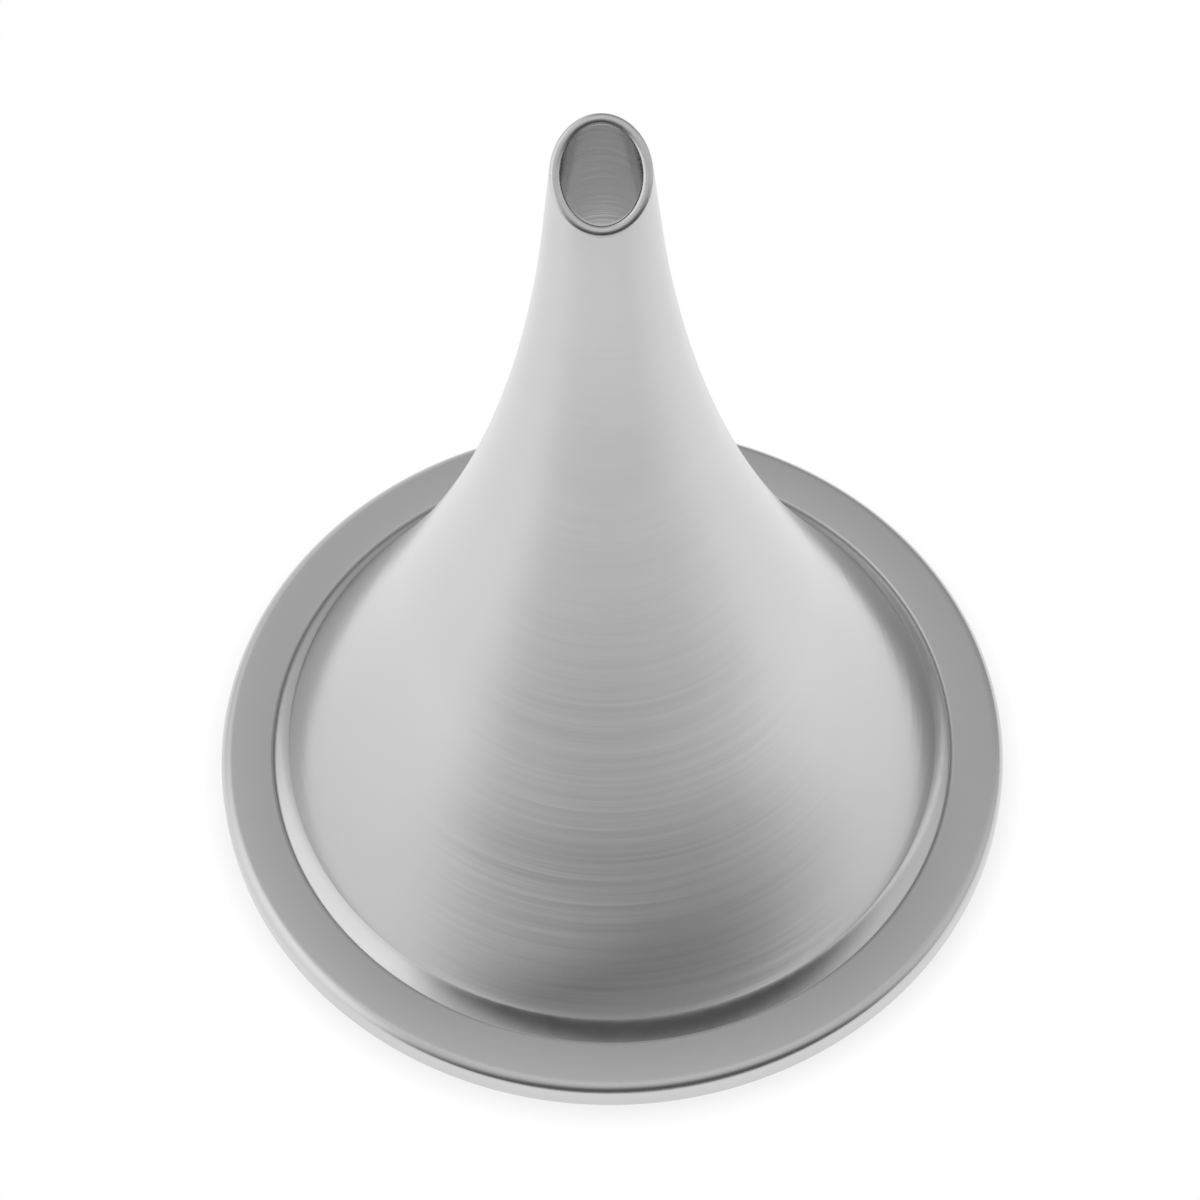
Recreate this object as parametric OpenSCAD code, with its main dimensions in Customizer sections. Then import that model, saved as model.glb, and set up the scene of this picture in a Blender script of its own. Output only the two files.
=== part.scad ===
// Ear speculum: a spun metal funnel with a slanting beaded mouth, brazed into a turned rim ring.
// It stands on its rim. The origin is at the centre of the rim's underside, +Z runs up the axis
// to the mouth, and the low side of the mouth faces -Y. All sizes are in millimetres and degrees.

/* [Rim ring] */
// Outside diameter of the rim ring
rim_d = 30; // [26:0.5:36]
// Height of the rim ring
rim_h = 1.4; // [1.2:0.1:2]
// Width of the ring's flat face, from its bore to its outside
face_w = 2; // [1.6:0.1:3]
// Rounding of the ring's two outer edges
edge_r = 0.45; // [0.2:0.05:0.55]
// Rounding of the ring's crisp inner edge, beside the braze
lip_r = 0.1; // [0.04:0.01:0.1]

/* [Funnel] */
// Thickness of the spun wall
wall = 0.33; // [0.3:0.01:0.45]
// Height above the resting plane at which the mouth's slanting plane crosses the axis
mouth_h = 35.2; // [32:0.2:42]
// Outside diameter of the neck at that height
mouth_d = 3.26; // [2.8:0.02:6]
// Taper of the neck, on each side of the axis
neck_angle = 5.5; // [3:0.5:8]
// Height at which the straight lines of the neck and of the foot would cross, inside the flare
flare_h = 19.4; // [16:0.2:23]
// Straight stretch of wall left between the flare and the nearer end of the funnel
straight_len = 3; // [1:0.5:6]

/* [Mouth] */
// Slant of the mouth from level
slant = 32.5; // [0:0.5:40]
// Width of the half-round bead on the cut edge, inwards from the neck's outer face
bead_w = 0.36; // [0.34:0.01:0.5]
// Height of the bead above the cut edge
bead_h = 0.14; // [0.08:0.01:0.25]

/* [Braze] */
// Width of the groove between the funnel and the ring's bore, level with the ring's face
groove_w = 0.35; // [0.3:0.05:0.6]
// Depth of the braze's outer edge below the ring's face
braze_drop = 0.1; // [0.1:0.01:0.25]
// Radius of the braze's hollow face
braze_r = 2.6; // [2:0.1:4]
// Angle at which the braze thins out against the funnel
braze_angle = 10; // [5:1:20]
// Gap between the funnel's foot and the countersink of the ring
seat_gap = 0.03; // [0.02:0.01:0.08]

/* [Hidden] */
turn_fn = 120;
arc_fn = 720;
bead_steps = 72;
bead_sides = 12;
spare = 1;

rim_r = rim_d / 2;
bore_r = rim_r - face_w;
mouth_r = mouth_d / 2;

// The neck's line and the foot's line cross at the knee, and the flare is an arc tangent to both
foot_r = bore_r - groove_w;
knee_r = mouth_r + (mouth_h - flare_h) * tan(neck_angle);
foot_angle = atan((foot_r - knee_r) / (flare_h - rim_h));
neck_line = (mouth_h - flare_h) / cos(neck_angle);
foot_line = (flare_h - rim_h) / cos(foot_angle);
flare_cut = min(neck_line, foot_line) - straight_len;
flare_r = flare_cut / tan((foot_angle - neck_angle) / 2);
flare_x = knee_r + flare_cut * sin(foot_angle) + flare_r * cos(foot_angle);
flare_z = flare_h - flare_cut * cos(foot_angle) + flare_r * sin(foot_angle);
top_h = mouth_h + mouth_d * tan(slant) + spare;

// Radius of the foot's line and of the neck's line at a height, for a face set in from the outside
function foot_at(z, inset = 0) = foot_r + (rim_h - z) * tan(foot_angle) - inset / cos(foot_angle);
function neck_at(z, inset = 0) = mouth_r + (mouth_h - z) * tan(neck_angle) - inset / cos(neck_angle);

// Point where the arc of a face, set in from the outside, meets the straight line of that angle
function flare_end(angle, inset) =
    [flare_x - (flare_r + inset) * cos(angle), flare_z - (flare_r + inset) * sin(angle)];

// Area from the axis out to a face of the wall, reaching past both ends of the funnel by more
module bell_area(inset, more) {
    low = -more;
    high = top_h + more;
    difference() {
        polygon([
            [0, low],
            [foot_at(low, inset), low],
            flare_end(foot_angle, inset),
            flare_end(neck_angle, inset),
            [neck_at(high, inset), high],
            [0, high]
        ]);
        translate([flare_x, flare_z])
            circle(r = flare_r + inset, $fn = arc_fn);
    }
}

// Everything above the mouth's slanting plane
module above_mouth() {
    size = 4 * mouth_d;
    translate([0, 0, mouth_h])
        rotate([slant, 0, 0])
            translate([-size / 2, -size / 2, 0])
                cube(size);
}

module funnel() {
    color([0.78, 0.78, 0.79])
        difference() {
            rotate_extrude($fn = turn_fn)
                difference() {
                    bell_area(0, 0);
                    bell_area(wall, spare);
                }
            above_mouth();
        }
}

// Section of the ring before its countersink: square inside, rounded on both outer edges
module ring_blank_area() {
    translate([bore_r, 0])
        square([face_w - edge_r, rim_h]);
    translate([bore_r, edge_r])
        square([face_w, rim_h - 2 * edge_r]);
    for (z = [edge_r, rim_h - edge_r])
        translate([rim_r - edge_r, z])
            circle(r = edge_r, $fn = turn_fn);
}

// What the rounding takes off the corner between the ring's bore and its face
module lip_corner_area() {
    translate([bore_r, rim_h - lip_r])
        difference() {
            square([lip_r, lip_r]);
            translate([lip_r, 0])
                circle(r = lip_r, $fn = turn_fn);
        }
}

module rim_ring() {
    color([0.66, 0.66, 0.67])
        rotate_extrude($fn = turn_fn)
            difference() {
                ring_blank_area();
                polygon([
                    [0, -spare],
                    [foot_at(-spare, -seat_gap), -spare],
                    [foot_at(rim_h, -seat_gap), rim_h],
                    [0, rim_h]
                ]);
                lip_corner_area();
            }
}

// The braze fills the groove above the countersink: its hollow face is an arc from the ring's bore
// to a thin edge on the funnel
module rim_braze() {
    groove_z = rim_h - groove_w / tan(foot_angle);
    outer_z = rim_h - braze_drop;
    outer_gap = (bore_r - foot_at(outer_z)) * cos(foot_angle);
    centre_gap = braze_r * cos(braze_angle);
    centre_run = sqrt(braze_r * braze_r - pow(centre_gap - outer_gap, 2));
    centre_x = bore_r + (centre_gap - outer_gap) * cos(foot_angle) - centre_run * sin(foot_angle);
    centre_z = outer_z + (centre_gap - outer_gap) * sin(foot_angle) + centre_run * cos(foot_angle);
    high_z = centre_z - centre_gap * sin(foot_angle);
    color([0.7, 0.7, 0.69])
        rotate_extrude($fn = turn_fn)
            difference() {
                polygon([
                    [bore_r, groove_z],
                    [bore_r, high_z],
                    [foot_at(high_z), high_z]
                ]);
                translate([centre_x, centre_z])
                    circle(r = braze_r, $fn = turn_fn);
            }
}

// The neck's cone meets the slanting plane in an ellipse. The bead follows it on the inside, with the
// same half-round section all the way: half an ellipse over a flat underside that lies on the cut
module mouth_bead() {
    skew = tan(slant) * tan(neck_angle);
    half_x = mouth_r / sqrt(1 - skew * skew);
    half_y = mouth_r / (1 - skew * skew) / cos(slant);
    shift_y = -skew * half_y;
    ring = bead_sides + 1;
    points = [
        for (i = [0:bead_steps - 1])
            let (
                t = 360 * i / bead_steps,
                out = [half_y * cos(t), half_x * sin(t)] / norm([half_y * cos(t), half_x * sin(t)])
            )
            for (j = [0:bead_sides])
                let (
                    a = 180 * j / bead_sides,
                    reach = bead_w * (cos(a) - 1) / 2,
                    x = half_x * cos(t) + reach * out[0],
                    y = shift_y + half_y * sin(t) + reach * out[1]
                )
                [x, y, bead_h * sin(a)]
    ];
    faces = [
        for (i = [0:bead_steps - 1])
            for (j = [0:bead_sides])
                let (
                    this = i * ring,
                    next = ((i + 1) % bead_steps) * ring,
                    k = (j + 1) % ring
                )
                for (half = [0, 1])
                    half == 0 ? [this + j, this + k, next + k] : [this + j, next + k, next + j]
    ];
    color([0.82, 0.82, 0.83])
        translate([0, 0, mouth_h])
            rotate([slant, 0, 0])
                polyhedron(points = points, faces = faces, convexity = 4);
}

funnel();
rim_ring();
rim_braze();
mouth_bead();
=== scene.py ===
# %% [markdown]
# # An ear speculum in satin steel
#
# The object is one turned and spun metal funnel. It stands on a rim ring, and its narrow end is
# cut on a slant and finished with a polished bead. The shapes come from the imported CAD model,
# which is loaded first as a fixed frame. Everything in this file is in metres, in the same frame:
# +Z up the axis, the rim's underside on the floor, and the low side of the mouth towards -Y.

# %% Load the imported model
import bpy
import math
from mathutils import Matrix, Vector


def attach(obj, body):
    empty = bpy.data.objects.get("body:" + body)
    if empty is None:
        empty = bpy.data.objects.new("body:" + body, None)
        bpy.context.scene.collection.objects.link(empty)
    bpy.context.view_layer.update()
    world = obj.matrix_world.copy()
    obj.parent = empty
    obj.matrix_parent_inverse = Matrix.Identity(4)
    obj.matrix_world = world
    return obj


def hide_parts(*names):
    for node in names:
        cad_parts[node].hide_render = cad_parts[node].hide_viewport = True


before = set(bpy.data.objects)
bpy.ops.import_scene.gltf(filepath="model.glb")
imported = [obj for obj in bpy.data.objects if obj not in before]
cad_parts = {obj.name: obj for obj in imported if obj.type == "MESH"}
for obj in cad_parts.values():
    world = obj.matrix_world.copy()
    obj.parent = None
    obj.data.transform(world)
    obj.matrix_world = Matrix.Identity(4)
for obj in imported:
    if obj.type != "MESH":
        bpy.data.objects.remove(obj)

bpy.context.view_layer.update()
MM = 0.001
print("nodes:", sorted(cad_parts))

# %% [markdown]
# ## The camera
#
# The photograph looks down on the speculum from its front, a little over half way up to overhead,
# and from close by: the near mouth looks larger than the same size would at the rim. The camera's
# height and distance set that perspective, and three small turns put the object where it is in the
# picture.

# %% Camera
CAMERA_DISTANCE = 150 * MM
CAMERA_HEIGHT_ANGLE = math.radians(58.856)
CAMERA_LENS, SENSOR_WIDTH = 116.31, 36
CAMERA_PAN = math.radians(0.135)
CAMERA_TILT = math.radians(2.329)
CAMERA_ROLL = math.radians(1.045)

camera_data = bpy.data.cameras.new("camera")
camera_data.lens = CAMERA_LENS
camera_data.sensor_width = SENSOR_WIDTH
camera_data.clip_start = 1 * MM
camera = bpy.data.objects.new("camera", camera_data)
bpy.context.scene.collection.objects.link(camera)
camera.matrix_world = (
    Matrix.Rotation(math.pi / 2 - CAMERA_HEIGHT_ANGLE, 4, "X")
    @ Matrix.Translation((0, 0, CAMERA_DISTANCE))
    @ Matrix.Rotation(CAMERA_PAN, 4, "Y")
    @ Matrix.Rotation(CAMERA_TILT, 4, "X")
    @ Matrix.Rotation(-CAMERA_ROLL, 4, "Z")
)
bpy.context.scene.camera = camera
bpy.context.view_layer.update()
print("camera at, in mm:", [round(v / MM, 1) for v in camera.matrix_world.translation])

# %% [markdown]
# ## Sizes of the turned profile
#
# The funnel is a cone at its foot, a cone at its neck, and one arc that touches both. The sizes
# below are in millimetres, and most of them are the ones that the solids were made from. The four
# that start with BRAZE belong to the fillet that is seen, which has a curve of its own.

# %% Profile sizes
RIM_R, RIM_H = 15.0, 1.4
BORE_R = 13.0
EDGE_R = 0.45
LIP_R = 0.1
WALL = 0.33
MOUTH_H, MOUTH_R = 35.2, 1.63
NECK_ANGLE = math.radians(5.5)
FLARE_H = 19.4
STRAIGHT = 3.0
SLANT = math.radians(32.5)
BEAD_W, BEAD_H = 0.36, 0.14
GROOVE = 0.35
SEAT_GAP = 0.03
BRAZE_DIP = 0.12
BRAZE_REACH = 1.0
BRAZE_BEND = 1.8
BRAZE_SINK = 0.004

foot_r = BORE_R - GROOVE
knee_r = MOUTH_R + (MOUTH_H - FLARE_H) * math.tan(NECK_ANGLE)
FOOT_ANGLE = math.atan((foot_r - knee_r) / (FLARE_H - RIM_H))
neck_line = (MOUTH_H - FLARE_H) / math.cos(NECK_ANGLE)
foot_line = (FLARE_H - RIM_H) / math.cos(FOOT_ANGLE)
flare_cut = min(neck_line, foot_line) - STRAIGHT
FLARE_R = flare_cut / math.tan((FOOT_ANGLE - NECK_ANGLE) / 2)
FLARE_X = knee_r + flare_cut * math.sin(FOOT_ANGLE) + FLARE_R * math.cos(FOOT_ANGLE)
FLARE_Z = FLARE_H - flare_cut * math.cos(FOOT_ANGLE) + FLARE_R * math.sin(FOOT_ANGLE)


def foot_radius(z):
    """Radius of the foot's cone at a height."""
    return foot_r + (RIM_H - z) * math.tan(FOOT_ANGLE)


def bell_radius(z, inset=0.0):
    """Radius of the funnel at a height, for a face set in from the outside."""
    reach = FLARE_R + inset
    if z < FLARE_Z - reach * math.sin(FOOT_ANGLE):
        return foot_radius(z) - inset / math.cos(FOOT_ANGLE)
    if z > FLARE_Z - reach * math.sin(NECK_ANGLE):
        return MOUTH_R + (MOUTH_H - z) * math.tan(NECK_ANGLE) - inset / math.cos(NECK_ANGLE)
    return FLARE_X - math.sqrt(reach ** 2 - (FLARE_Z - z) ** 2)


def cut_height(turn, inset=0.0):
    """Height at which the slanting cut meets a face of the neck, at an angle round the axis."""
    rise = math.tan(SLANT) * math.sin(turn)
    middle = MOUTH_R - inset / math.cos(NECK_ANGLE)
    return MOUTH_H + rise * middle / (1 + rise * math.tan(NECK_ANGLE))


# %% [markdown]
# ## One skin for every turned piece
#
# All four pieces are closed sections carried round the axis, so one helper makes them all. It
# takes the section at each angle, as a loop of points, and joins each loop to the next with
# four-sided faces. The result is closed, with even faces that follow the turning, which keeps
# reflections smooth. Corners sharper than a limit stay crisp.

# %% Helper for closed skins
SHARP = math.radians(32)


def closed_skin(name, loops):
    """Makes an object from loops of points in millimetres, the last one joined to the first."""
    count, size = len(loops), len(loops[0])
    points = [tuple(v * MM for v in point) for loop in loops for point in loop]
    faces = []
    for i in range(count):
        here, there = i * size, (i + 1) % count * size
        for j in range(size):
            k = (j + 1) % size
            faces.append((here + j, there + j, there + k, here + k))
    mesh = bpy.data.meshes.new(name)
    mesh.from_pydata(points, [], faces)
    mesh.validate()
    for face in mesh.polygons:
        face.use_smooth = True
    mesh.set_sharp_from_angle(angle=SHARP)
    piece = bpy.data.objects.new(name, mesh)
    bpy.context.scene.collection.objects.link(piece)
    return piece


def turned(name, section_at, steps):
    """Carries a section, given as (radius, height) points at each angle, round the axis."""
    loops = []
    for i in range(steps):
        turn = 2 * math.pi * i / steps
        loops.append([(r * math.cos(turn), r * math.sin(turn), z) for r, z in section_at(turn)])
    return closed_skin(name, loops)


def arc(centre, radius, start, end, steps):
    """Points on an arc, from one angle to another, with both ends."""
    made = []
    for i in range(steps + 1):
        a = start + (end - start) * i / steps
        made.append((centre[0] + radius * math.cos(a), centre[1] + radius * math.sin(a)))
    return made


# %% [markdown]
# ## The funnel
#
# The real funnel is spun from thin sheet over a former and skimmed in a lathe, which leaves a
# faintly wavy wall. The foot is skimmed a little hollow: it runs nearly a tenth of a millimetre
# inside the straight cone of the solid and comes back to it at the rim. The rings of points are
# level up to the neck, and then lean more and more until the last one lies in the slanting cut, so
# no face is cut through. Waves and hollow only ever go inwards from the CAD's surface.

# %% Funnel
FUNNEL_STEPS = 192
LEVEL_TOP = 31.0
LEVEL_ROWS = 124
LEAN_ROWS = 20
FACE_POINTS = LEVEL_ROWS + 1 + LEAN_ROWS
WAVES = ((2.9, 0.0004, 0.4), (1.7, 0.0002, 2.1), (4.6, 0.0006, 4.0))
WAVES_FROM, WAVES_TO, WAVES_FADE = 2.0, LEVEL_TOP + 2, 3.0
HOLLOW_FROM, HOLLOW_TO, HOLLOW_DEPTH = 2.05, 13.0, 0.09
HOLLOW_SCALE = 27 / 4


def clamp(v):
    return min(1, max(0, v))


def wave(z):
    """Depth of the spinning waves at a height. They fade out above the rim and below the mouth."""
    fade = clamp((z - WAVES_FROM) / WAVES_FADE) * clamp((WAVES_TO - z) / WAVES_FADE)
    depth = 0
    for pitch, size, start in WAVES:
        depth += size * (1 + math.sin(2 * math.pi * z / pitch + start))
    return fade * depth


def hollow(z):
    """Depth of the hollow in the foot: quickly deeper above the braze, and then slowly less. The
    scale makes its greatest depth, a third of the way up, equal to HOLLOW_DEPTH."""
    part = clamp((z - HOLLOW_FROM) / (HOLLOW_TO - HOLLOW_FROM))
    return HOLLOW_SCALE * HOLLOW_DEPTH * part * (1 - part) ** 2


def funnel_face(turn, inset):
    """Points up one face of the wall, from the foot to the slanting cut."""
    heights = [LEVEL_TOP * i / LEVEL_ROWS for i in range(LEVEL_ROWS + 1)]
    top = cut_height(turn, inset)
    heights += [LEVEL_TOP + (top - LEVEL_TOP) * (i + 1) / LEAN_ROWS for i in range(LEAN_ROWS)]
    return [(bell_radius(z, inset) - wave(z) - hollow(z), z) for z in heights]


def funnel_section(turn):
    """The whole section of the wall: its outer face upwards, and then its inner face downwards."""
    return funnel_face(turn, 0) + funnel_face(turn, WALL)[::-1]


funnel = turned("spun_funnel", funnel_section, FUNNEL_STEPS)
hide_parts("funnel")
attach(funnel, "root")
print("funnel faces:", len(funnel.data.polygons))

# %% [markdown]
# ## The rim ring
#
# The ring is turned from solid bar: a flat face on top, two rounded outer edges, a crisp inner
# edge with a very small rounding, and a countersink underneath that the funnel's foot sits in,
# with a small seat gap.

# %% Rim ring
RING_STEPS = 256
LIP_STEPS = 5
EDGE_STEPS = 12

seat_gap_x = SEAT_GAP / math.cos(FOOT_ANGLE)
sunk_top = RIM_H - (BORE_R - foot_r - seat_gap_x) / math.tan(FOOT_ANGLE)
edge_x = RIM_R - EDGE_R
ring_points = [(foot_radius(0) + seat_gap_x, 0)]
ring_points += arc((edge_x, EDGE_R), EDGE_R, -math.pi / 2, 0, EDGE_STEPS)
ring_points += arc((edge_x, RIM_H - EDGE_R), EDGE_R, 0, math.pi / 2, EDGE_STEPS)
ring_points += arc((BORE_R + LIP_R, RIM_H - LIP_R), LIP_R, math.pi / 2, math.pi, LIP_STEPS)
ring_points += [(BORE_R, sunk_top)]

ring = turned("turned_rim_ring", lambda turn: ring_points, RING_STEPS)
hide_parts("rim_ring")
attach(ring, "root")
print("ring faces:", len(ring.data.polygons), "countersink meets the bore at", round(sunk_top, 3))

# %% [markdown]
# ## The braze fillet
#
# Braze metal has run into the groove between the ring and the funnel, and was then brushed over
# together with the funnel. It starts a little below the ring's face, where it leaves the crisp
# edge standing, and bends ever more steeply up the funnel. Its last ring of points sinks a few
# thousandths of a millimetre into the wall, and it has as many steps as the funnel, so that it
# ends in an even line. It ends two tenths of a millimetre higher than the solid does.

# %% Braze fillet
BRAZE_STEPS = FUNNEL_STEPS
FILLET_STEPS = 16

groove_z = RIM_H - GROOVE / math.tan(FOOT_ANGLE)
outer_z = RIM_H - BRAZE_DIP
outer_gap = (BORE_R - foot_radius(outer_z)) * math.cos(FOOT_ANGLE)
gap_x, gap_z = outer_gap * math.cos(FOOT_ANGLE), outer_gap * math.sin(FOOT_ANGLE)
fillet_points = []
for i in range(FILLET_STEPS + 1):
    part = i / FILLET_STEPS
    up, left = BRAZE_REACH * part, (1 - part) ** BRAZE_BEND - 1
    fillet_points.append((
        BORE_R + left * gap_x - up * math.sin(FOOT_ANGLE) - BRAZE_SINK * part,
        outer_z + left * gap_z + up * math.cos(FOOT_ANGLE),
    ))
braze_points = [(BORE_R, groove_z)] + fillet_points

braze = turned("braze_fillet", lambda turn: braze_points, BRAZE_STEPS)
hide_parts("rim_braze")
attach(braze, "root")

# %% [markdown]
# ## The mouth bead
#
# A sharp cut would hurt the ear, so a half-round wire is bent to the slanting edge, brazed on and
# polished. The neck's cone meets the slanting plane in an ellipse, and the wire keeps the same
# section all the way round it, square to the ellipse. A section carried round the axis would come
# out wider at the front and back, so this piece is made in the slanting plane and then tilted.

# %% Mouth bead
BEAD_STEPS = 192
BEAD_SIDES = 24

skew = math.tan(SLANT) * math.tan(NECK_ANGLE)
half_x = MOUTH_R / math.sqrt(1 - skew ** 2)
half_y = MOUTH_R / (1 - skew ** 2) / math.cos(SLANT)
shift_y = -skew * half_y
tilt = Matrix.Translation((0, 0, MOUTH_H)) @ Matrix.Rotation(SLANT, 4, "X")


def bead_loop(turn):
    """The half-round section at one place on the ellipse, from its outer corner inwards."""
    out = Vector((half_y * math.cos(turn), half_x * math.sin(turn), 0)).normalized()
    edge = Vector((half_x * math.cos(turn), shift_y + half_y * math.sin(turn), 0))
    loop = []
    for i in range(BEAD_SIDES + 1):
        a = math.pi * i / BEAD_SIDES
        point = edge + out * BEAD_W * (math.cos(a) - 1) / 2
        loop.append(tilt @ (point + Vector((0, 0, BEAD_H * math.sin(a)))))
    return loop


bead_loops = [bead_loop(2 * math.pi * i / BEAD_STEPS) for i in range(BEAD_STEPS)]
bead = closed_skin("half_round_mouth_bead", bead_loops)
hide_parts("mouth_bead")
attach(bead, "root")

# %% [markdown]
# ## Making materials
#
# A few helpers are enough for every finish. The first turns a written sRGB colour into the linear
# numbers that a shader takes, the second adds a node with its settings and links, and the third
# starts a material and hands back the place of a point on the object.

# %% Helpers that start a material
def linear(hex_colour, alpha=1.0):
    """The linear colour for a written sRGB one."""
    made = []
    for i in (1, 3, 5):
        v = int(hex_colour[i:i + 2], 16) / 255
        made.append(v / 12.92 if v <= 0.04045 else ((v + 0.055) / 1.055) ** 2.4)
    return (*made, alpha)


def add(tree, kind, inputs=None, **settings):
    """Adds a node. Each input is a plain value, or the output of another node to link from."""
    made = tree.nodes.new(kind)
    for name, value in settings.items():
        setattr(made, name, value)
    for name, value in (inputs or {}).items():
        if isinstance(value, bpy.types.NodeSocket):
            tree.links.new(value, made.inputs[name])
        else:
            made.inputs[name].default_value = value
    return made


def new_finish(name):
    """Starts a material. Gives it back with its tree and the place of a point on the object."""
    made = bpy.data.materials.new(name)
    made.use_nodes = True
    tree = made.node_tree
    tree.nodes.clear()
    return made, tree, add(tree, "ShaderNodeTexCoord").outputs["Object"]


# %% [markdown]
# ## Numbers inside a material
#
# These helpers are short names for nodes that come back in every finish: a sum, a change from one
# range to another, a mix of two colours, and the two measures that a turned object is drawn with,
# its height and the distance from its axis.

# %% Helpers for numbers and colours
def maths(tree, operation, first, second, **settings):
    """One sum with two numbers."""
    inputs = {0: first, 1: second}
    return add(tree, "ShaderNodeMath", inputs, operation=operation, **settings).outputs[0]


def ranged(tree, value, start, end, first, last, kind="LINEAR"):
    """Takes a value from one range to another, and holds it at both ends."""
    return add(tree, "ShaderNodeMapRange", {
        "Value": value, "From Min": start, "From Max": end, "To Min": first, "To Max": last,
    }, interpolation_type=kind).outputs[0]


def blend(tree, share, first, second):
    """Mixes two colours, by the share of the second."""
    inputs = {"Factor": share, "A": first, "B": second}
    return add(tree, "ShaderNodeMix", inputs, data_type="RGBA").outputs[2]


def height_of(tree, place):
    """Height above the floor."""
    return add(tree, "ShaderNodeSeparateXYZ", {0: place}).outputs["Z"]


def radius_of(tree, place):
    """Distance from the axis."""
    parts = add(tree, "ShaderNodeSeparateXYZ", {0: place})
    flat = add(tree, "ShaderNodeCombineXYZ", {"X": parts.outputs["X"], "Y": parts.outputs["Y"]})
    return add(tree, "ShaderNodeVectorMath", {0: flat.outputs[0]}, operation="LENGTH").outputs[1]


# %% [markdown]
# ## Marks that a lathe leaves
#
# Everything on this object was worked while it turned, so its marks are circles round the axis. A
# noise that changes quickly along the profile and slowly round it draws them: each mark fades in
# and out along its length, as the tool pressed unevenly. The same helper serves the wide tool
# rings, the fine grain and the marks on the flat face of the rim, with a pitch along the profile
# and a length over which a mark fades, both in real sizes. A second noise, the same in every
# direction, draws what handling and polishing leave.

# %% Helpers for marks
CELLS_PER_MARK = 2
NOISE_LOW, NOISE_HIGH = 0.3, 0.7


def lathe_marks(tree, place, along, pitch, fade, detail):
    """Noise in circles round the axis. The pitch is the distance from one mark to the next."""
    spot = add(tree, "ShaderNodeSeparateXYZ", {0: place})
    across = add(tree, "ShaderNodeCombineXYZ", {
        "X": maths(tree, "MULTIPLY", spot.outputs["X"], 1 / fade),
        "Y": maths(tree, "MULTIPLY", spot.outputs["Y"], 1 / fade),
        "Z": maths(tree, "MULTIPLY", along, CELLS_PER_MARK / pitch),
    })
    return add(tree, "ShaderNodeTexNoise", {
        "Vector": across.outputs[0], "Scale": 1.0, "Detail": detail,
        "Roughness": 0.6, "Lacunarity": 1.8,
    }).outputs[0]


def patchy(tree, place, size, detail, roughness=0.5):
    """Noise in soft patches of one size."""
    return add(tree, "ShaderNodeTexNoise", {
        "Vector": place, "Scale": 1 / size, "Detail": detail, "Roughness": roughness,
    }).outputs[0]


def relief(tree, marks, depth, strength=1.0, under=None):
    """Turns marks into relief of a real depth, on top of the relief under them."""
    inputs = {"Height": marks, "Strength": strength, "Distance": depth}
    if under is not None:
        inputs["Normal"] = under
    return add(tree, "ShaderNodeBump", inputs).outputs[0]


def uneven(tree, marks, smooth, rough):
    """Roughness that goes from one value to another with a noise."""
    return ranged(tree, marks, NOISE_LOW, NOISE_HIGH, smooth, rough)


# %% [markdown]
# ## Bare metal
#
# Bare steel is a metal in every sense that the shader knows, so its colour is all in its
# reflections, and the studio shows in them. Brushing or turning leaves grooves round the axis that
# are too fine to see, and they smear each reflection along the profile but hardly round it, which
# is what an anisotropic metal does. The tangent runs round the axis, and a quarter turn from it
# lies the smear.

# %% Helper that ends a material
QUARTER_TURN = 0.25


def bare_metal(tree, colour, roughness, normal, smear=0.0):
    """Ends a material with bare metal. The smear is the shader's anisotropic share."""
    inputs = {"Base Color": colour, "Metallic": 1.0, "Roughness": roughness, "Normal": normal}
    if smear:
        around = add(tree, "ShaderNodeTangent", direction_type="RADIAL", axis="Z")
        inputs["Anisotropic"] = smear
        inputs["Anisotropic Rotation"] = QUARTER_TURN
        inputs["Tangent"] = around.outputs[0]
    shader = add(tree, "ShaderNodeBsdfPrincipled", inputs)
    add(tree, "ShaderNodeOutputMaterial", {"Surface": shader.outputs[0]})
    print("nodes in this finish:", len(tree.nodes))


# %% [markdown]
# ## Satin steel, spun and brushed
#
# The outside of the funnel is stainless steel that was spun over a former, skimmed with a lathe
# tool and brushed while it turned. The tool leaves rings a little under a millimetre apart, with
# finer ones between them, and they are strongest near the rim, where the work ran widest and
# chattered. Handling leaves soft patches that are a shade duller. Towards the rim the steel is
# given a slightly darker colour as painted shade, only because the photograph is darker in that
# corner than the reflections alone make it.

# %% Satin spun steel
STEEL = "#D3D3D3"
HANDLED_STEEL = "#CECECE"
PAINTED_SHADE_STEEL = "#C4C4C4"
CORNER_LOW, CORNER_HIGH = 3 * MM, 11 * MM
TOOL_PITCH, TOOL_DEPTH = 0.85 * MM, 0.0065 * MM
CHATTER_UP_TO, CALM_FROM, CALM_SHARE = 5 * MM, 22 * MM, 0.3
MARK_FADE = 16 * MM
GRAIN_PITCH, GRAIN_DEPTH, GRAIN_FADE = 0.12 * MM, 0.0005 * MM, MARK_FADE / 4
PATCH_SIZE, PATCH_CONTRAST = 7 * MM, 0.55
BRUSHED_SMEAR = 0.4

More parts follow.
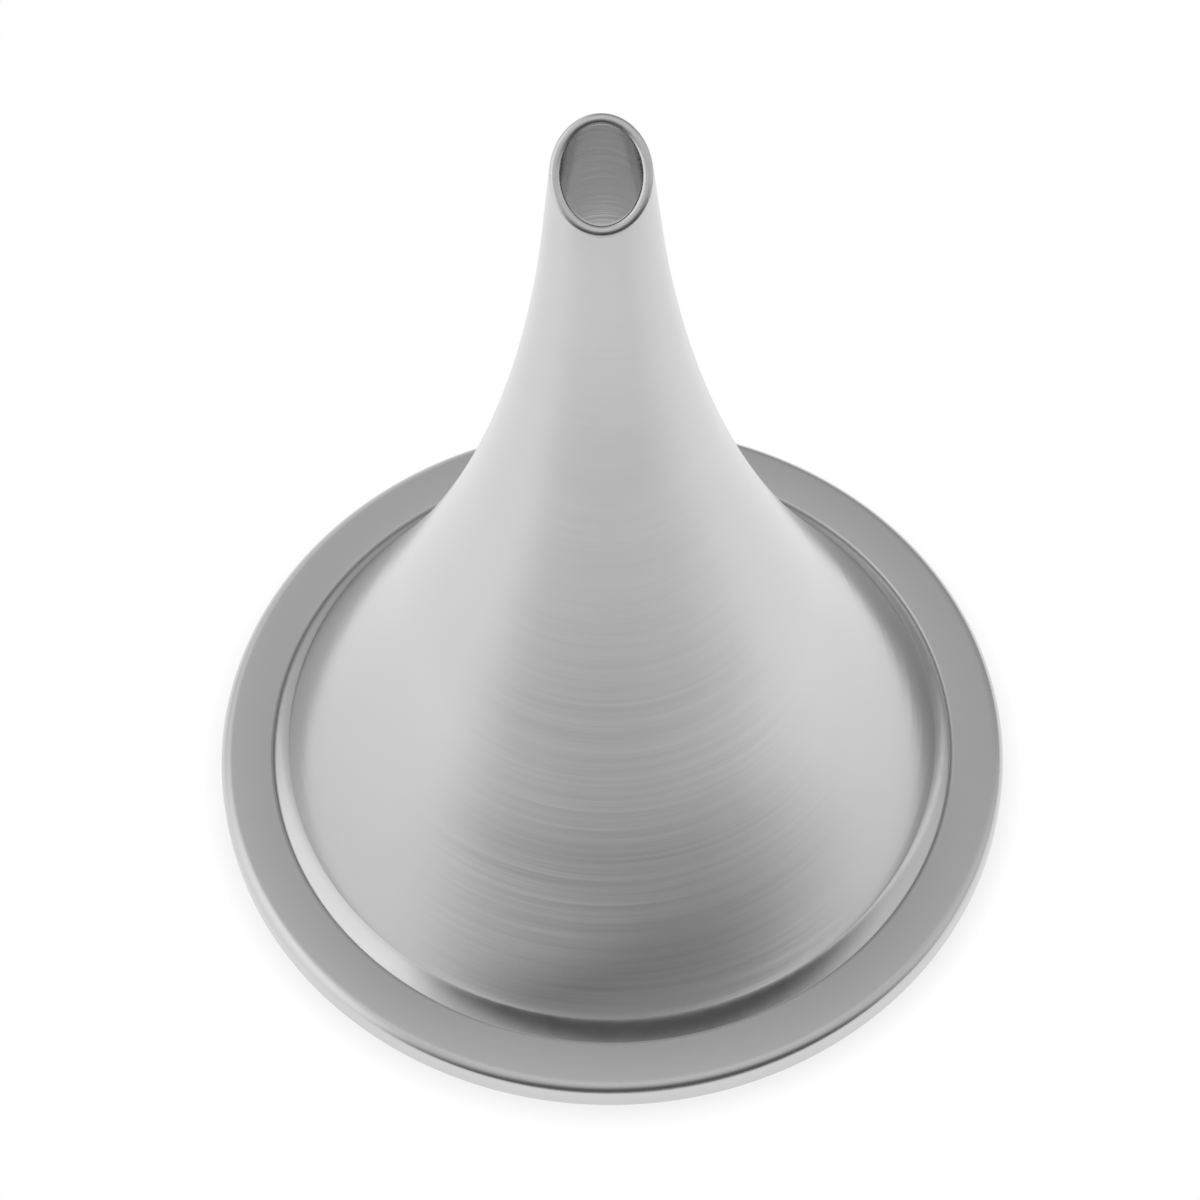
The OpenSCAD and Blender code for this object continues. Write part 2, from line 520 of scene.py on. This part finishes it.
satin, tree, place = new_finish("satin_spun_steel")
height = height_of(tree, place)
rings = lathe_marks(tree, place, height, TOOL_PITCH, MARK_FADE, 1.5)
calmer = ranged(tree, height, CHATTER_UP_TO, CALM_FROM, 1.0, CALM_SHARE)
tooled = relief(tree, rings, TOOL_DEPTH, calmer)
grain = lathe_marks(tree, place, height, GRAIN_PITCH, GRAIN_FADE, 1.0)
brushed = relief(tree, grain, GRAIN_DEPTH, under=tooled)
patches = patchy(tree, place, PATCH_SIZE, 3.0, PATCH_CONTRAST)
colour = blend(tree, patches, linear(STEEL), linear(HANDLED_STEEL))
# Painted shade: the steel's colour darkens towards the rim, from 11 mm down to 3 mm high.
painted_corner_shade = ranged(tree, height, CORNER_LOW, CORNER_HIGH, 1.0, 0.0)
colour = blend(tree, painted_corner_shade, colour, linear(PAINTED_SHADE_STEEL))
bare_metal(tree, colour, uneven(tree, patches, 0.17, 0.21), brushed, BRUSHED_SMEAR)

# %% [markdown]
# ## Inside the funnel
#
# Nobody brushes the inside of so narrow a funnel. It is left as the spinning former and a reamer
# left it: a little smoother along its length, and with rings from the reamer near the mouth that
# stand out because the light there comes at a low angle. Its colour is set a shade darker than the
# outside's. The inner faces of the mesh are the second half of each section, so their numbers say
# which faces get this finish.

# %% Reamed steel inside
# The inside's colour is a shade darker than the outside's.
INNER_STEEL = "#BEBEBE"
REAM_PITCH, REAM_DEPTH, REAM_FADE = 0.5 * MM, 0.009 * MM, 2 * MM
DEEP_DOWN, NEAR_MOUTH, DEEP_SHARE = 24 * MM, 33 * MM, 0.35
STREAK_SIZE = 1.2 * MM

reamed, tree, place = new_finish("reamed_steel")
height = height_of(tree, place)
rings = lathe_marks(tree, place, height, REAM_PITCH, REAM_FADE, 2.0)
stronger = ranged(tree, height, DEEP_DOWN, NEAR_MOUTH, DEEP_SHARE, 1.0)
streaks = patchy(tree, place, STREAK_SIZE, 2.0)
gloss = uneven(tree, streaks, 0.12, 0.2)
bare_metal(tree, linear(INNER_STEEL), gloss, relief(tree, rings, REAM_DEPTH, stronger))

funnel.data.materials.append(satin)
funnel.data.materials.append(reamed)
inner = range(FACE_POINTS, 2 * FACE_POINTS - 1)
for face in funnel.data.polygons:
    face.material_index = 1 if face.index % (2 * FACE_POINTS) in inner else 0
print("inner faces:", sum(face.material_index for face in funnel.data.polygons))

# %% [markdown]
# ## Turned steel of the rim ring
#
# The ring is cut from bar and faced off in the lathe, and nobody brushed it afterwards. A turned
# face has very fine circles from the feed of the tool, so its reflections spread across the
# circles as they do on the funnel. The distance along the ring's profile is its radius less its
# height, which runs evenly over the flat face and the upright edge, and the circles follow it. The
# rounded edges are rubbed smooth by the hands and trays that they have touched.

# %% Turned steel
TURNED_STEEL = "#D4D4D4"
FEED_PITCH, FEED_DEPTH = 0.16 * MM, 0.0008 * MM
TURNED_SMEAR = 0.5

turned_steel, tree, place = new_finish("turned_steel")
radius = radius_of(tree, place)
along = maths(tree, "SUBTRACT", radius, height_of(tree, place))
feed = lathe_marks(tree, place, along, FEED_PITCH, MARK_FADE, 2.0)
patches = patchy(tree, place, PATCH_SIZE, 3.0, PATCH_CONTRAST)
colour = blend(tree, patches, linear(TURNED_STEEL), linear(HANDLED_STEEL))
worn = ranged(tree, radius, (RIM_R - EDGE_R) * MM, RIM_R * MM, 0.3, 0.2)
bare_metal(tree, colour, worn, relief(tree, feed, FEED_DEPTH), TURNED_SMEAR)
ring.data.materials.append(turned_steel)

# %% [markdown]
# ## Silver braze
#
# Braze metal runs into the groove while it is liquid and freezes with a faintly uneven skin. Here
# it was dressed and brushed over together with the funnel, so it has the funnel's circles and
# smears reflections as the funnel does, and only a trace of the skin is left under them.

# %% Silver braze
SILVER_BRAZE = "#D6D6D6"
SKIN_SIZE, SKIN_DEPTH, SKIN_TRACE = 0.5 * MM, 0.001 * MM, 0.5

braze_metal, tree, place = new_finish("silver_braze")
skin = patchy(tree, place, SKIN_SIZE, 3.0)
grain = lathe_marks(tree, place, height_of(tree, place), GRAIN_PITCH, GRAIN_FADE, 1.0)
brushed = relief(tree, grain, GRAIN_DEPTH, under=relief(tree, skin, SKIN_DEPTH, SKIN_TRACE))
gloss = uneven(tree, skin, 0.18, 0.23)
bare_metal(tree, linear(SILVER_BRAZE), gloss, brushed, BRUSHED_SMEAR)
braze.data.materials.append(braze_metal)

# %% [markdown]
# ## Polished bead
#
# The bead goes into the ear, so it is the one part that is polished by hand after brazing. Hand
# polishing leaves a bright surface that isn't quite even: shallow facets where the stick stopped
# and turned, about three tenths of a millimetre long.

# %% Hand-polished steel
POLISHED_STEEL = "#D2D2D2"
FACET_SIZE, FACET_DEPTH = 0.3 * MM, 0.005 * MM

polished, tree, place = new_finish("hand_polished_steel")
facets = patchy(tree, place, FACET_SIZE, 2.0)
gloss = uneven(tree, facets, 0.22, 0.3)
bare_metal(tree, linear(POLISHED_STEEL), gloss, relief(tree, facets, FACET_DEPTH))
bead.data.materials.append(polished)

# %% [markdown]
# ## The sheet under it
#
# The speculum stands on a sheet of white paper. For the camera and for the metal the sheet is
# white by its own colour, so the room's light can stay at a plain level, and the little that is
# left of its shading close to the rim keeps the thin shadow there. All that the picture shows of
# the sheet is white. Outside the picture, on the front side, it has painted shade: beyond 38 mm
# its own white gets less as the distance grows, down to a dark grey. The funnel mirrors that
# painted shade in its neck and its middle.

# %% Paper sheet
SHEET_SIZE = 1.0
SHEET_Z = -0.01 * MM
PAPER_WHITE = "#FAFAFA"
FIBRE_SIZE, FIBRE_DEPTH, FIBRE_TRACE = 0.4 * MM, 0.01 * MM, 0.2
SHADOW_REACH = 0.8 * MM
NEAR_WHITE, FAR_WHITE = 0.8, 0.995
LIT_REACH = 38 * MM
SHADE_AZIMUTH = 14
SHADE_NONE, SHADE_WHOLE = -0.12, 0.6
PAINTED_SHADE_GREY = "#1E1E1E"


def towards(azimuth, elevation):
    """Unit vector at an azimuth from the front, counted to the right, and at an elevation."""
    a, e = math.radians(azimuth), math.radians(elevation)
    return (math.sin(a) * math.cos(e), -math.cos(a) * math.cos(e), math.sin(e))


def facing(tree, direction, azimuth, elevation):
    """How nearly a direction is the given one, where 1 is the same and 0 is square to it."""
    inputs = {0: direction, 1: towards(azimuth, elevation)}
    return add(tree, "ShaderNodeVectorMath", inputs, operation="DOT_PRODUCT").outputs["Value"]


sheet_mesh = bpy.data.meshes.new("paper_sheet")
sheet_mesh.from_pydata([
    (-SHEET_SIZE, -SHEET_SIZE, SHEET_Z), (SHEET_SIZE, -SHEET_SIZE, SHEET_Z),
    (SHEET_SIZE, SHEET_SIZE, SHEET_Z), (-SHEET_SIZE, SHEET_SIZE, SHEET_Z),
], [], [(0, 1, 2, 3)])
sheet = bpy.data.objects.new("paper_sheet", sheet_mesh)
bpy.context.scene.collection.objects.link(sheet)

# %% [markdown]
# ### White near the object, with painted shade in front
#
# The white is the sheet's own for every ray that comes from the camera, from a reflection or
# through glass. All other rays meet plain paper.

# %% Paper and shade
paper, tree, place = new_finish("white_paper")
ray = add(tree, "ShaderNodeLightPath")
seen = maths(tree, "MAXIMUM", ray.outputs["Is Camera Ray"], ray.outputs["Is Glossy Ray"])
seen = maths(tree, "MAXIMUM", seen, ray.outputs["Is Transmission Ray"])
away = add(tree, "ShaderNodeVectorMath", {0: place}, operation="LENGTH").outputs["Value"]
edge = RIM_R * MM
own_white = ranged(tree, away, edge, edge + SHADOW_REACH, NEAR_WHITE, FAR_WHITE)
share = maths(tree, "MULTIPLY", seen, own_white)
fibres = relief(tree, patchy(tree, place, FIBRE_SIZE, 2.0), FIBRE_DEPTH, FIBRE_TRACE)
plain = add(tree, "ShaderNodeBsdfDiffuse", {"Color": linear(PAPER_WHITE), "Normal": fibres})
white = add(tree, "ShaderNodeEmission", {"Color": (1, 1, 1, 1), "Strength": 1.0})
lit = add(tree, "ShaderNodeMixShader", {0: share, 1: plain.outputs[0], 2: white.outputs[0]})

# Painted shade: in front and beyond LIT_REACH, a dark grey is mixed into the sheet by position.
outwards = add(tree, "ShaderNodeVectorMath", {0: place}, operation="NORMALIZE").outputs[0]
ahead = facing(tree, outwards, SHADE_AZIMUTH, 0)
in_front = ranged(tree, ahead, SHADE_NONE, SHADE_WHOLE, 0.0, 1.0, "SMOOTHSTEP")
still_lit = maths(tree, "DIVIDE", LIT_REACH, away, use_clamp=True)
lost = maths(tree, "SUBTRACT", 1.0, still_lit)
painted_shade_share = maths(tree, "MULTIPLY", in_front, lost)
shade = add(tree, "ShaderNodeBsdfDiffuse", {"Color": linear(PAINTED_SHADE_GREY)})
ground = add(tree, "ShaderNodeMixShader", {0: painted_shade_share, 1: lit.outputs[0], 2: shade.outputs[0]})
add(tree, "ShaderNodeOutputMaterial", {"Surface": ground.outputs[0]})
sheet_mesh.materials.append(paper)
print("nodes in the paper:", len(tree.nodes))

# %% [markdown]
# ## A grey card in front of it
#
# The foot of the funnel mirrors the sheet just in front of the rim, and there the photograph shows
# a calm grey where white paper would glare. A low strip of grey card gives that grey as painted
# shade in the reflection. It stands on the sheet just outside the picture and is bent round it,
# and it is cut lower and lower towards both ends, so that no edge of it shows in the metal.
# Nothing in the photograph shows such a card.

# %% Grey card
CARD_HALF_X, CARD_HALF_Y = 28, 27
CARD_SQUARENESS = 4
CARD_HEIGHT, CARD_END_HEIGHT = 3.2, 0.02
CARD_MIDDLE, CARD_SPREAD = math.radians(14), math.radians(72)
CARD_STEPS = 36
CARD_SHADE_GREY = "#D0D0D0"
PULP_SIZE, PULP_DEPTH, PULP_TRACE = 0.6 * MM, 0.01 * MM, 0.2

card_points = []
for i in range(CARD_STEPS + 1):
    off = CARD_SPREAD * (2 * i / CARD_STEPS - 1)
    side, ahead = math.sin(CARD_MIDDLE + off), math.cos(CARD_MIDDLE + off)
    reach = (
        (side / CARD_HALF_X) ** CARD_SQUARENESS + (ahead / CARD_HALF_Y) ** CARD_SQUARENESS
    ) ** (-1 / CARD_SQUARENESS)
    top = CARD_HEIGHT * math.cos(math.pi / 2 * off / CARD_SPREAD) ** 2 + CARD_END_HEIGHT
    card_points.append((side * reach * MM, -ahead * reach * MM, SHEET_Z))
    card_points.append((side * reach * MM, -ahead * reach * MM, top * MM))
card_faces = [(2 * i, 2 * i + 2, 2 * i + 3, 2 * i + 1) for i in range(CARD_STEPS)]
card_mesh = bpy.data.meshes.new("shade_card")
card_mesh.from_pydata(card_points, [], card_faces)
card = bpy.data.objects.new("shade_card", card_mesh)
bpy.context.scene.collection.objects.link(card)

# Painted shade: this grey card is there only to darken what the funnel's foot mirrors.
card_paper, tree, place = new_finish("shade_card")
pulp = relief(tree, patchy(tree, place, PULP_SIZE, 2.0), PULP_DEPTH, PULP_TRACE)
matt = add(tree, "ShaderNodeBsdfDiffuse", {"Color": linear(CARD_SHADE_GREY), "Normal": pulp})
add(tree, "ShaderNodeOutputMaterial", {"Surface": matt.outputs[0]})
card_mesh.materials.append(card_paper)
print("card height in mm:", CARD_HEIGHT)

# %% [markdown]
# ## Soft studio light
#
# Bare metal has no shading of its own and only shows the room, so the room has to be right. It is
# drawn in the world as large soft patches: an even light that grows a little towards the top, a
# bright wall on the left, a smaller one on the right, a faint patch overhead, and a dark front
# where the camera stands. The dark front is what gives the middle of the funnel its soft grey
# band, and the back is a little dimmer low down. Each patch is written as its azimuth and
# elevation, the size of its heart and of its soft edge, all in degrees, and its level. The sheet
# fills the whole picture, so nothing of the room shows behind the object.

# %% Studio
LOW_LEVEL, TOP_LEVEL = 0.5, 0.66
LOW_RISE, TOP_RISE = 0.087, 0.906
LEFT_WALL = (-112, 2, 50, 20, 0.55)
RIGHT_WALL = (92, 12, 20, 24, 0.15)
CEILING = (0, 90, 14, 16, 0.1)
DARK_FRONT = (10, -10, 40, 34, 0.82)
DIM_BACK = (180, 0, 50, 30, 0.3)
LIGHTS, SHADES = (LEFT_WALL, RIGHT_WALL, CEILING), (DARK_FRONT, DIM_BACK)


def patch(tree, direction, azimuth, elevation, heart, fade, level):
    """Level of a round soft patch of the room, whole over its heart and then fading to none."""
    start, end = math.cos(math.radians(heart + fade)), math.cos(math.radians(heart))
    nearness = facing(tree, direction, azimuth, elevation)
    return ranged(tree, nearness, start, end, 0.0, level, "SMOOTHSTEP")


world = bpy.data.worlds.new("studio")
bpy.context.scene.world = world
world.use_nodes = True
tree = world.node_tree
tree.nodes.clear()
direction = add(tree, "ShaderNodeTexCoord").outputs["Generated"]
rise = add(tree, "ShaderNodeSeparateXYZ", {0: direction}).outputs["Z"]
level = ranged(tree, rise, LOW_RISE, TOP_RISE, LOW_LEVEL, TOP_LEVEL, "SMOOTHSTEP")
for light in LIGHTS:
    level = maths(tree, "ADD", level, patch(tree, direction, *light))
for shade in SHADES:
    kept = maths(tree, "SUBTRACT", 1.0, patch(tree, direction, *shade))
    level = maths(tree, "MULTIPLY", level, kept)
room = add(tree, "ShaderNodeBackground", {"Color": (1, 1, 1, 1), "Strength": level})
add(tree, "ShaderNodeOutputWorld", {"Surface": room.outputs[0]})

bpy.context.scene.view_settings.view_transform = "Standard"
print("patches of light:", len(LIGHTS), "of shade:", len(SHADES))

# %% Finish
bpy.context.view_layer.update()
